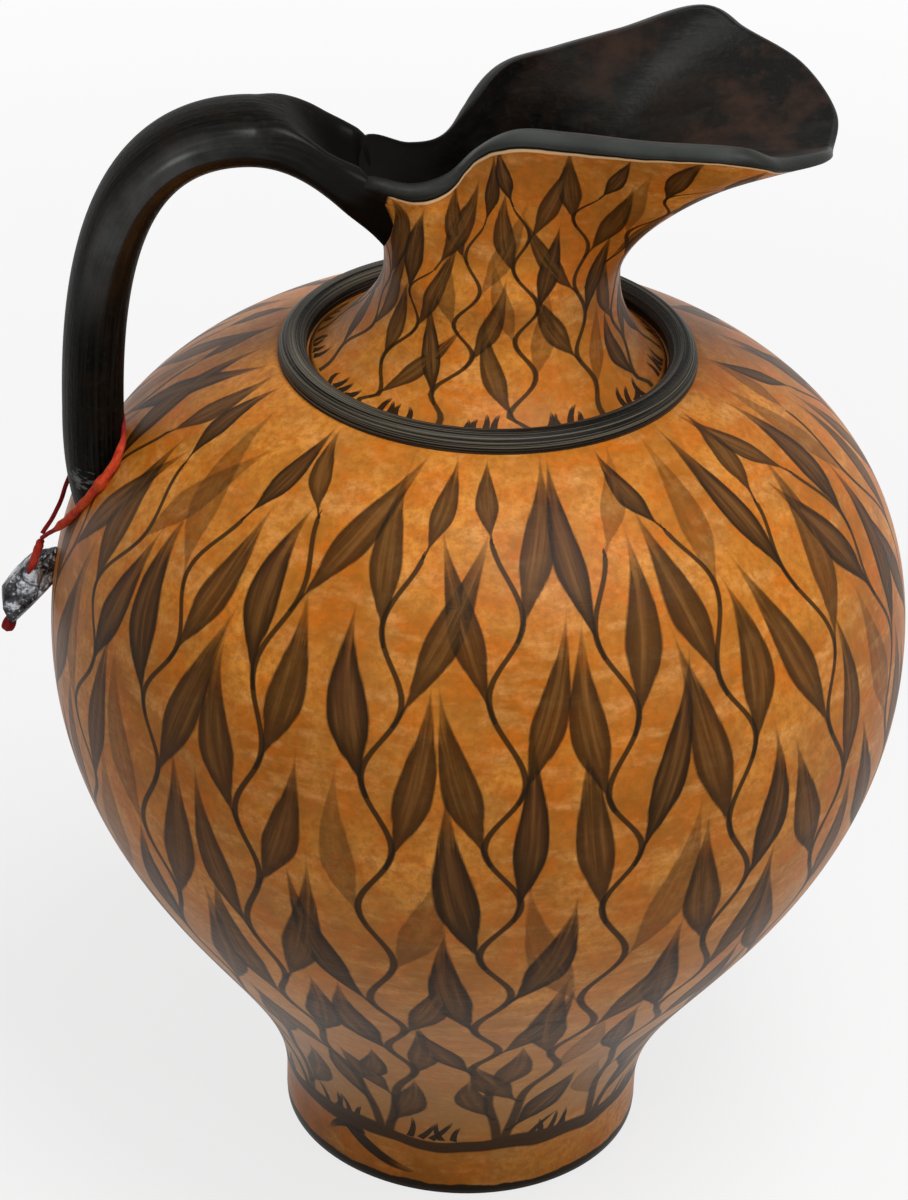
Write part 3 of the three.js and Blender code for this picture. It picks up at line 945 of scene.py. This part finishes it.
def pot_finish():
    """The sprays with their ground line and the dark edge of the base."""
    tree = Finish("painted_clay")
    place = tree.place
    color, cover, height = painted(tree)
    level = tree.parts(place)[2]
    waver = tree.grain(tree.scaled(place, 26, 26, 0), 1.0, 2)
    line = tree.math("SUBTRACT", level, tree.ramp(waver, 0.3, 0.7, 14.8 * mm, 18.6 * mm))
    swollen = tree.ramp(tree.grain(place, 45, 1), 0.35, 0.65, 0.8, 1.3)
    line = tree.math("DIVIDE", tree.math("ABSOLUTE", line), swollen)
    ground = tree.ramp(line, 0.85 * ground_width, 1.1 * ground_width, 1, 0)
    ragged = tree.plus(level, tree.spread(tree.grain(place, 130, 3), 0.4 * mm))
    base = tree.ramp(ragged, base_edge - 0.2 * mm, base_edge + 0.2 * mm, 1, 0)
    dark = tree.most(ground, base)
    color = tree.tint(ground, color, slip_core)
    color = tree.tint(base, color, slip_edge)
    roughness = tree.ramp(tree.most(cover, dark), 0, 1, 0.36, 0.4)
    tree.coat(color, roughness, clay_gloss, height, 0.16 * mm)
    return tree.material


pot.data.materials.append(pot_finish())
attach(pot, "root")
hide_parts("foot", "lower_body", "upper_body")

# Ring
# A roll of clay luted on where the neck meets the shoulder. It is brushed with charcoal slip while
# the wheel turns, which leaves fine lines along it. Its paler lines are partly a painted sheen.
ring_rise = 1 * mm
ring_sides = 256
bead_sides = 48
ring_streak_and_sheen = (0.150, 0.130, 0.095, 1)
slip_black = (0.0022, 0.0018, 0.0014, 1)
slip_grey = (0.022, 0.023, 0.019, 1)
slip_brown = (0.012, 0.007, 0.004, 1)
slip_gloss = 0.065
ring_grooves = 11
groove_depth = 0.10 * mm
slip_depth = 0.25 * mm


def brushed_slip():
    """Charcoal slip with streaks along the brush's way, greyer rubs, and brown where it is thin."""
    inputs = {"Along": "Vector", "Place": "Vector"}
    outputs = {"Color": "Color", "Height": "Float", "Streak": "Float"}
    tree, given, result = group("brushed_slip", inputs, outputs)
    streak = tree.grain(tree.scaled(given["Along"], 34, 900, 1), 1.0, 4, 0.65)
    cloud = tree.grain(given["Place"], 60, 5, 0.65)
    fine = tree.grain(given["Place"], 700, 3)
    color = tree.washed(
        slip_black,
        (streak, 0.46, 0.78, 0.65, slip_grey),
        (cloud, 0.48, 0.7, 0.7, slip_brown),
        (fine, 0.55, 0.8, 0.35, slip_grey),
    )
    tree.link(color, result["Color"])
    tree.link(tree.plus(streak, tree.times(fine, 0.5)), result["Height"])
    tree.link(streak, result["Streak"])
    return tree


slip_group = brushed_slip()


def slip_finish(name):
    """A new material with brushed slip along its piece, the slip, and its roughness."""
    tree = Finish(name)
    slip = tree.placed(slip_group, {"Along": tree.wrap(), "Place": tree.place})
    return tree, slip, tree.ramp(slip["Streak"], 0.3, 0.7, 0.36, 0.5)


def ring_finish():
    """Brushed slip with paler, browner lines round the ring, partly brush marks and partly painted sheen.
    """
    tree, slip, roughness = slip_finish("ring_slip")
    lines = tree.grain(tree.scaled(tree.wrap(), 9, 1500, 1), 1.0, 3)
    # Partly painted sheen: the paler lines stand partly for brush marks and partly for highlights on the
    # ring.
    color = tree.tint(tree.ramp(lines, 0.45, 0.63, 0, 0.9), slip["Color"], ring_streak_and_sheen)
    tree.coat(color, roughness, slip_gloss, slip["Height"], slip_depth)
    return tree.material


# The roll's section is the part of a circle above the seat, closed by its chord, with waves in its
# radius for the grooves. It is turned once round the Z axis.
bead_start = -np.arcsin(ring_rise / ring_width)
bead_turn = np.linspace(bead_start, pi - bead_start, bead_sides)
bead_groove = groove_depth * np.cos(ring_grooves * bead_turn) * np.sin(bead_turn) ** 2
bead_radius = ring_radius + (ring_width + bead_groove) * np.cos(bead_turn)
bead_height = seat_height + ring_rise + (ring_width + bead_groove) * np.sin(bead_turn)
bead = np.stack([bead_radius, bead_height], axis=1)
bead_rings = np.swapaxes(turned(bead, ring_sides, pi / 2), 0, 1)[:, ::-1]
ring = ringed("collar_bead", bead_rings, joined=True)
ring.data.materials.append(ring_finish())
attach(ring, "root")
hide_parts("collar_ring")

# Neck
# It is thrown by itself, pulled out into the spout and pinched to a channel at the back. Leaves
# climb its outside up to a brushed lip, and its inside is charcoal slip, rubbed brown in places.
neck_sides = 320
low_count = 26
high_count = 76
neck_wall = 6 * mm
lip_wall = 3.6 * mm
lip_drop = 2 * mm
neck_ahead = 2.4 * mm
waist_radius = 26.5 * mm
waist_height = seat_height + 23 * mm
flange_radius = ring_radius - ring_width - 0.3 * mm
lip_band = 1.0 * mm
foot_lean = radians(35)
foot_reach = 11 * mm
waist_reach = 9 * mm
tip_flare = 14
side_flare = 88
back_flare = 42
neck_roots = 13
neck_pitch = 8 * mm
neck_swing = 1.9 * mm
neck_clear = 13 * mm
least_widening = 1.35
tip_aside = 1.4 * mm
tip_twist = 0.19
slip_lip_and_sheen = (0.048, 0.052, 0.047, 1)
bare_clay = (0.74, 0.48, 0.25, 1)
slip_rubbed = (0.032, 0.015, 0.009, 1)
neck_rim = [
    (73.6, 0, 51.9),
    (73.7, 9.4, 55.6),
    (68.8, 24.4, 61.3),
    (56.5, 35.5, 65.4),
    (49.9, 38.5, 68.8),
    (30, 30.2, 66.5),
    (14.6, 22.8, 65),
    (3, 17.4, 63.2),
    (-5, 11.2, 56),
    (-11.5, 9.8, 49),
    (-18.8, 10.5, 47.1),
    (-28, 10.5, 48.8),
    (-30.8, 0, 41.2),
]


def neck_levels(rim):
    """Each column climbs from the flange to the waist, then flares to the lip's outer edge.

    The rim is the inner crest of the lip, and the outer edge is further out and lower. The wall's
    lean at its top, and how long it keeps it, change with the turn from the spout's tip to the
    side and to the back. Below its top the flaring wall is smoothed round.
    """
    around = np.arctan2(rim[:, 1], rim[:, 0] - neck_ahead)
    out = np.stack([np.cos(around), np.sin(around), 0 * around], axis=1)
    up = np.array([0, 0, 1.0])
    turn = np.degrees(np.abs(around))
    to_side, to_back = step(turn, 10, 85)[:, None], step(turn, 115, 180)[:, None]
    flare = tip_flare + (side_flare - tip_flare) * to_side + (back_flare - side_flare) * to_back
    flare = np.radians(flare)
    leave = out * np.cos(flare) + up * np.sin(flare)
    foot = out * flange_radius + up * seat_height
    waist = out * waist_radius + up * waist_height + (neck_ahead, 0, 0)
    ahead = np.roll(rim, -1, axis=0) - np.roll(rim, 1, axis=0)
    thick = (0.38 + 0.62 * step(turn, 12, 40) - 0.35 * step(turn, 125, 165))[:, None]
    edge = rim + thick * lip_wall * unit(np.cross(ahead, up))
    edge = edge - lip_drop * up * np.minimum(thick * 1.8, 1)
    reach = np.linalg.norm(edge - waist, axis=1, keepdims=True)
    foot_pull = foot + foot_reach * (up * np.sin(foot_lean) - out * np.cos(foot_lean))
    low = cubic(foot, foot_pull, waist - waist_reach * up, waist, low_count)
    waist_pull = waist + up * reach * (0.17 + 0.19 * to_side - 0.22 * to_back)
    high = cubic(waist, waist_pull, edge - leave * reach * (0.46 - 0.12 * to_side), edge, high_count)
    rate = np.fft.fftfreq(len(rim), 1 / len(rim))[:, None]
    smoothed = np.fft.ifft(np.fft.fft(high, axis=1) * np.exp(-((rate / 8) ** 2)), axis=1).real
    fall = np.linspace(1, 0, high_count)
    below = (step(fall, 0.02, 0.35) * (1 - step(fall, 0.65, 1)))[:, None, None]
    high = high + below * (smoothed - high)
    return np.concatenate([low, high[1:]])


# The rim is mirrored from its +Y half, then its tip is twisted and set aside. The inner wall is
# the outer one moved inwards along its normals, drawn to the rim at its top. The lip between them
# is a quarter of an ellipse.
rim_half = np.array(neck_rim) * mm + (0, 0, seat_height)
rim_loop = np.concatenate([rim_half, rim_half[-2:0:-1] * (1, -1, 1)])
rim_loop[:, 0] += tip_twist * rim_loop[:, 1] * step(rim_loop[:, 0], 68 * mm, 73 * mm)
rim_loop[:, 1] += tip_aside * step(rim_loop[:, 0], 60 * mm, 72 * mm)
rim = np.roll(smooth_line(rim_loop, neck_sides, closed=True), neck_sides // 2, axis=0)
outer_levels = neck_levels(rim)
neck_skin = Skin(outer_levels)
high_share = np.linspace(0, 1, len(outer_levels))[:, None, None]
wall = neck_wall + (lip_wall - neck_wall) * step(high_share, 0.6, 1)
inner_levels = outer_levels - wall * neck_skin.normals
inner_levels = inner_levels + (rim - inner_levels[-1]) * step(high_share, 0.7, 1)
inner_levels[..., 2] = np.maximum(inner_levels[..., 2], seat_height)
lip_turn = np.linspace(0, pi / 2, 9)[1:, None, None]
lip_across = (outer_levels[-1] - rim) * (1, 1, 0)
lip_fall = (outer_levels[-1] - rim) * (0, 0, 1)
lip_levels = rim + lip_across * np.cos(lip_turn) + lip_fall * (1 - np.sin(lip_turn))
neck_rings = np.concatenate([outer_levels, lip_levels, inner_levels[-2:-1], inner_levels[-4::-3]])
neck = ringed("neck_and_spout", neck_rings, joined=True)
inside_values = np.linspace(0, -1 * mm, len(lip_levels))[:, None] + np.zeros(neck_sides)
far_values = np.full((len(neck_rings) - len(outer_levels) - len(lip_levels), neck_sides), -1 * mm)
outside_values = neck_skin.heights[-1] - neck_skin.heights
point_values(neck, "below_rim", np.concatenate([outside_values, inside_values, far_values]))


def neck_leaf(height):
    """Small slender leaves, of one size at every height."""
    return 23 * mm, 2.6 * mm


def neck_lean(height):
    """Leaves lean up to half a radian, at every height."""
    return 0.08, 0.5


def neck_stem(column, root, start, number):
    """A stem from a height up to some way below the lip, with a leaf at each node."""
    nodes = [start]
    height = start + (5 if number % 2 else 9) * mm
    while height < neck_skin.at(column, far, neck_skin.heights) - neck_clear:
        nodes.append(height)
        height = height + neck_pitch * leaf_dice.uniform(0.85, 1.15)
    swing = neck_swing / neck_skin.at(column, 44 * mm, neck_skin.widths)
    return Stem(column, root, nodes, swing, 1, leaf_dice.choice([-1, 1]), 12 * mm, 0.9 * mm)


flange_turn = np.unwrap(np.arctan2(outer_levels[0, :, 1], outer_levels[0, :, 0]))
neck_stems = []
neck_leaves = []
for i in range(neck_roots):
    turn = flange_turn[0] + 2 * pi * (i + 0.5 + leaf_dice.uniform(-0.1, 0.1)) / neck_roots
    column = float(np.interp(turn, flange_turn, np.arange(neck_sides)))
    neck_stems.append(neck_stem(column, column, 0.5 * mm, i))
    between = float(np.interp(turn + pi / neck_roots, flange_turn, np.arange(neck_sides)))
    neck_leaves += tuft(neck_skin, between, 1.4 * mm, 4, 4.2 * mm)
    flared, narrow = (neck_skin.at(between, z * mm, neck_skin.widths) for z in (48, 26))
    if flared / narrow > least_widening:
        branch = neck_stem(between, column, leaf_dice.uniform(30, 36) * mm, i)
        neck_stems += [branch] if len(branch.nodes) > 2 else []
neck_leaves += leafy(neck_skin, neck_stems, neck_leaf, neck_lean)
paint(neck, neck_skin, np.array(neck_leaves), neck_stems, 0)


def neck_finish():
    """Leaves below the lip, the lip's band with a thin bare line under it, and slip inside. The band
    is a paler grey, partly wear and partly a painted highlight where light falls on its top.

    Towards the handle a slanting patch of slip with a ragged edge covers the leaves. The channel
    at the back of the mouth is darkened to black as painted shade.
    """
    tree = Finish("painted_neck")
    place = tree.place
    color, cover, height = painted(tree)
    slip = tree.placed(slip_group, {"Along": tree.scaled(place, 0.6, 0.16, 140), "Place": place})
    below = tree.stored("below_rim")["Fac"]
    edge = tree.plus(below, tree.spread(tree.grain(place, 90, 2), 0.35 * mm))
    bare = tree.ramp(edge, lip_band + 1.1 * mm, lip_band + 1.3 * mm, 1, 0)
    color = tree.tint(bare, color, bare_clay)
    line = tree.ramp(edge, lip_band + 0.4 * mm, lip_band + 0.6 * mm, 1, 0)
    color = tree.tint(line, color, slip_black)
    x, _, z = tree.parts(place)
    slant = [z, -0.65, 0.65 * 252 * mm + 22.5 * mm]
    slant = tree.node("ShaderNodeMath", slant, operation="MULTIPLY_ADD")[0]
    ragged = tree.spread(tree.grain(tree.scaled(place, 420, 420, 110), 1.0, 3), 3.5 * mm)
    soot = tree.ramp(tree.plus(x, slant, ragged), -2.5 * mm, 1 * mm, 1, 0)
    color = tree.tint(soot, color, slip["Color"])
    # Partly painted highlight: the lip band is a paler grey, partly wear and partly light falling on its
    # top.
    wear_and_sheen = tree.ramp(tree.grain(place, 45, 3), 0.35, 0.65, 0.5, 0.95)
    at_back = tree.ramp(x, -26 * mm, -6 * mm, 0.1, 1)
    at_tip = tree.ramp(x, 46 * mm, 50 * mm, 1, 0.3)
    lip_color = tree.tint(tree.times(wear_and_sheen, at_back, at_tip), slip["Color"], slip_lip_and_sheen)
    rubs = tree.grain(place, 42, 5, 0.65)
    ahead = tree.times(tree.ramp(rubs, 0.5, 0.64, 0, 0.8), tree.ramp(x, -5 * mm, 25 * mm))
    rubbed = tree.tint(ahead, slip["Color"], slip_rubbed)
    dark = tree.tint(tree.ramp(below, -1 * mm, -0.75 * mm, 1, 0), lip_color, rubbed)
    band = tree.ramp(edge, lip_band - 0.2 * mm, lip_band, 1, 0)
    color = tree.tint(band, color, dark)
    covered = tree.most(cover, band, soot)
    relief = tree.node("ShaderNodeMix", [band, None, height, slip["Height"]])[0]
    # Painted shade: inside the band at the back, the mouth's channel is darkened to black as if in shade.
    behind = tree.ramp(x, -18 * mm, 2 * mm, 1, 0)
    inside = tree.ramp(below, -1 * mm, -0.6 * mm, 1, 0)
    trough_shade = tree.times(band, behind, inside)
    color = tree.tint(trough_shade, color, slip_black)
    roughness = tree.ramp(covered, 0, 1, 0.36, 0.44)
    roughness = tree.plus(roughness, tree.times(trough_shade, 0.4))
    tree.coat(color, roughness, clay_gloss, relief, 0.2 * mm)
    return tree.material


neck.data.materials.append(neck_finish())
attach(neck, "root")
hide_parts("neck_spout")

# Handle
# A strap pulled from wet clay. Its root widens into the channel at the back of the mouth, and its
# foot is pressed on the shoulder. Brushed lengthwise with charcoal slip, with a scuff near its foot.
strap_thickness = 14 * mm
strap_width = 24 * mm
strap_root_width = 27 * mm
strap_foot_width = 22 * mm
channel_depth = 9 * mm
root_pinch = 2.2 * mm
root_drop = 4 * mm
root_hug = (5 * mm, 0, -1.2 * mm)
keel_share = 0.27
scuff_place = (-92.5 * mm, -9.5 * mm, 181 * mm)
scuff_grey = (0.20, 0.21, 0.20, 1)
strap_sides = 80
root_count = 70
bend_count = 150
handle_inset = 1.3 * mm
handle_gloss = 0.4 * slip_gloss
rub_roughness = 0.22
landing_height = seat_height - 32 * mm
handle_back = handle_inset - float(np.interp(landing_height, upper_curve[:, 1], upper_curve[:, 0]))


def arc(a, b, c, d, count):
    """A cubic curve in the handle's plane, from the first of four places to the last."""
    line = cubic(a, b, c, d, count)
    return np.stack([line[:, 0], 0 * line[:, 0], line[:, 1]], axis=1)


def near_seat(x, z):
    """A place in the handle's plane, from millimetres along X and above the seat."""
    return x * mm, seat_height + z * mm


# The root lies between two cubic curves. From there the strap keeps its thickness along a cubic
# curve over the bend, and a short one down to where it lands on the shoulder.
root_top, root_under = (
    arc(*(near_seat(x, z) for x, z in places), root_count)
    for places in (
        [(-32, 51.2), (-37, 54.8), (-44.5, 60.6), (-53.6, 61.6)],
        [(-24, 27), (-31, 36), (-41.6, 47.6), (-53.6, 47.6)],
    )
)
root_middle = (root_top + root_under) / 2
root_half = (root_top - root_under) / 2

top_x, top_z = near_seat(-53.6, 54.6)
bend = arc(
    (top_x, top_z),
    (top_x - 25 * mm, top_z),
    (handle_back, seat_height + 32 * mm),
    (handle_back, seat_height - 14 * mm),
    200,
)
foot = arc(
    (handle_back, seat_height - 14 * mm),
    (handle_back - 0.3 * mm, seat_height - 26 * mm),
    (handle_back + 1 * mm, seat_height - 37 * mm),
    (handle_back + 5.5 * mm, seat_height - 45.5 * mm),
    60,
)
bend = evenly(np.concatenate([bend, foot[1:]]), bend_count)
bend_along = unit(np.gradient(bend, axis=0))
bend_half = np.stack([bend_along[:, 2], 0 * bend_along[:, 0], -bend_along[:, 0]], axis=1)
middle = np.concatenate([root_middle, bend[1:]])
half = np.concatenate([root_half, bend_half[1:] * strap_thickness / 2])
share = np.linspace(0, 1, len(middle))[:, None]
root_share = np.concatenate([1 - np.linspace(0, 1, root_count), np.zeros(bend_count - 1)])[:, None]

# Each ring is an ellipse, half the strap's width to the side and half its thickness off its middle
# line. Towards the root its top flattens and is hollowed for the channel, its underside narrows,
# and its edges reach forward round the back of the mouth.
strap_turn = np.linspace(0, 2 * pi, strap_sides, endpoint=False)
strap_side = np.sin(strap_turn)
spread_width = strap_width + (strap_foot_width - strap_width) * share
spread_width = spread_width + (strap_root_width - strap_width) * step(root_share, 0.2, 0.75)
spread_width = spread_width - root_pinch * step(root_share, 0.75, 1)
flat_power = 2 + 10 * step(root_share, 0, 0.55)
crown = np.sqrt(np.maximum(1 - np.abs(strap_side) ** flat_power, 0))
channel = channel_depth * step(root_share, 0.25, 0.8) * (1 - step(np.abs(strap_side), 0.2, 0.88))
crown = crown - channel / np.linalg.norm(half, axis=1)[:, None]
strap_height = np.where(np.cos(strap_turn) > 0, crown, np.cos(strap_turn))
strap_rings = middle[:, None] + strap_height[..., None] * half[:, None]
keel = keel_share * step(root_share, 0.6, 1) * step(strap_height, 0.7, -0.3)
strap_rings[..., 1] += spread_width / 2 * strap_side * (1 - keel)
strap_rings[..., 2] -= root_drop * step(root_share, 0.9, 1) * (strap_height > 0) * (1 - strap_side**2)
wrap_round = step(root_share, 0.65, 1) * strap_side**2
strap_rings = strap_rings + wrap_round[..., None] * root_hug
handle = ringed("strap_handle", strap_rings)


def handle_finish():
    """Brushed slip with painted shade that blackens the channel, and a pale scuff near the foot.

    The strap's edges are rubbed to a gloss on its upper part.
    """
    tree, slip, roughness = slip_finish("handle_slip")
    place = tree.place
    away = tree.node("ShaderNodeVectorMath", [place, scuff_place], operation="DISTANCE")["Value"]
    broken = tree.spread(tree.grain(tree.scaled(place, 300, 300, 900), 1.0, 4), 2.5 * mm)
    scuff = tree.ramp(tree.plus(away, broken), 0.9 * mm, 2.8 * mm, 0.75, 0)
    color = tree.tint(scuff, slip["Color"], scuff_grey)
    x, y, z = tree.parts(place)
    # Painted shade: the channel at the strap's root is darkened to black, as if the hollow were in shade.
    trough_shade = tree.ramp(x, -48 * mm, -36 * mm)
    color = tree.tint(trough_shade, color, slip_black)
    roughness = tree.plus(roughness, tree.times(trough_shade, 0.3))
    tree.coat(color, roughness, handle_gloss, slip["Height"], slip_depth)
    at_edge = tree.eased(tree.math("ABSOLUTE", y), 7 * mm, 11.5 * mm)
    above = tree.eased(z, 214 * mm, 246 * mm)
    behind = tree.ramp(x, -64 * mm, -48 * mm, 1, 0.15)
    patchy = tree.ramp(tree.grain(place, 90, 4), 0.3, 0.6, 0.35, 1)
    rubbed = tree.times(at_edge, above, behind, patchy)
    tree.link(rubbed, tree.shader.inputs["Coat Weight"])
    tree.shader.inputs["Coat Roughness"].default_value = rub_roughness
    return tree.material


handle.data.materials.append(handle_finish())
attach(handle, "root")
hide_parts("handle")

# Studio
# A pale floor under soft white lamps. The camera and the gloss see a white room.
floor_color = (0.70, 0.70, 0.70, 1)
floor_shaded = 0.16
floor_white = 1.0
floor_least_white = 0.78
floor_half = 8.0
lamps_aim = Vector((0, 0, 0.14))


def seen_rays(tree, names):
    """1 for the rays of the kinds that are named, and 0 for the others."""
    ray = tree.node("ShaderNodeLightPath")
    return tree.most(*(ray[name] for name in names))


def studio_floor():
    """A pale floor that keeps the jug's shadow, and whitens away from it into the white room."""
    tree = Finish("floor_paper")
    tree.shader.inputs["Base Color"].default_value = floor_color
    tree.shader.inputs["Roughness"].default_value = 0.9
    tree.shader.inputs["Specular IOR Level"].default_value = 0.1
    white = tree.node("ShaderNodeEmission", {"Strength": 1.0})[0]
    seen = seen_rays(tree, ["Is Camera Ray", "Is Glossy Ray"])
    away = tree.node("ShaderNodeVectorMath", [tree.place], operation="LENGTH")["Value"]
    whitening = tree.eased(away, floor_shaded, floor_white, floor_least_white, 1)
    share = tree.times(seen, whitening)
    mixed = tree.node("ShaderNodeMixShader", [share, tree.shader.outputs[0], white])[0]
    tree.link(mixed, tree.tree.nodes["Material Output"].inputs[0])
    return tree.material


floor_mesh = bpy.data.meshes.new("floor")
corners = [(x * floor_half, y * floor_half, 0) for x, y in ((-1, -1), (1, -1), (1, 1), (-1, 1))]
floor_mesh.from_pydata(corners, [], [(0, 1, 2, 3)])
floor = bpy.data.objects.new("floor", floor_mesh)
scene.collection.objects.link(floor)
floor_mesh.materials.append(studio_floor())

world = bpy.data.worlds.new("white_room")
world.use_nodes = True
scene.world = world
room = Tree(world.node_tree)
backdrop = world.node_tree.nodes["Background"].inputs
seen = seen_rays(room, ["Is Camera Ray", "Is Glossy Ray", "Is Transmission Ray"])
room.link(room.ramp(seen, 0, 1, 0.26, 1.0), backdrop["Strength"])
backdrop["Color"].default_value = (1, 1, 1, 1)

lamps = [
    ("top_lamp", (0.25, -0.3, 1.25), 0.6, 13),
    ("left_lamp", (-0.6, -1.05, 0.6), 0.35, 1.0),
    ("right_lamp", (0.85, -0.8, 0.6), 0.35, 2.0),
]
for lamp_name, place, size, power in lamps:
    lamp_data = bpy.data.lights.new(lamp_name, "AREA")
    lamp_data.size = size
    lamp_data.energy = power
    lamp = bpy.data.objects.new(lamp_name, lamp_data)
    lamp.location = place
    lamp.rotation_euler = (lamps_aim - Vector(place)).to_track_quat("-Z", "Y").to_euler()
    scene.collection.objects.link(lamp)
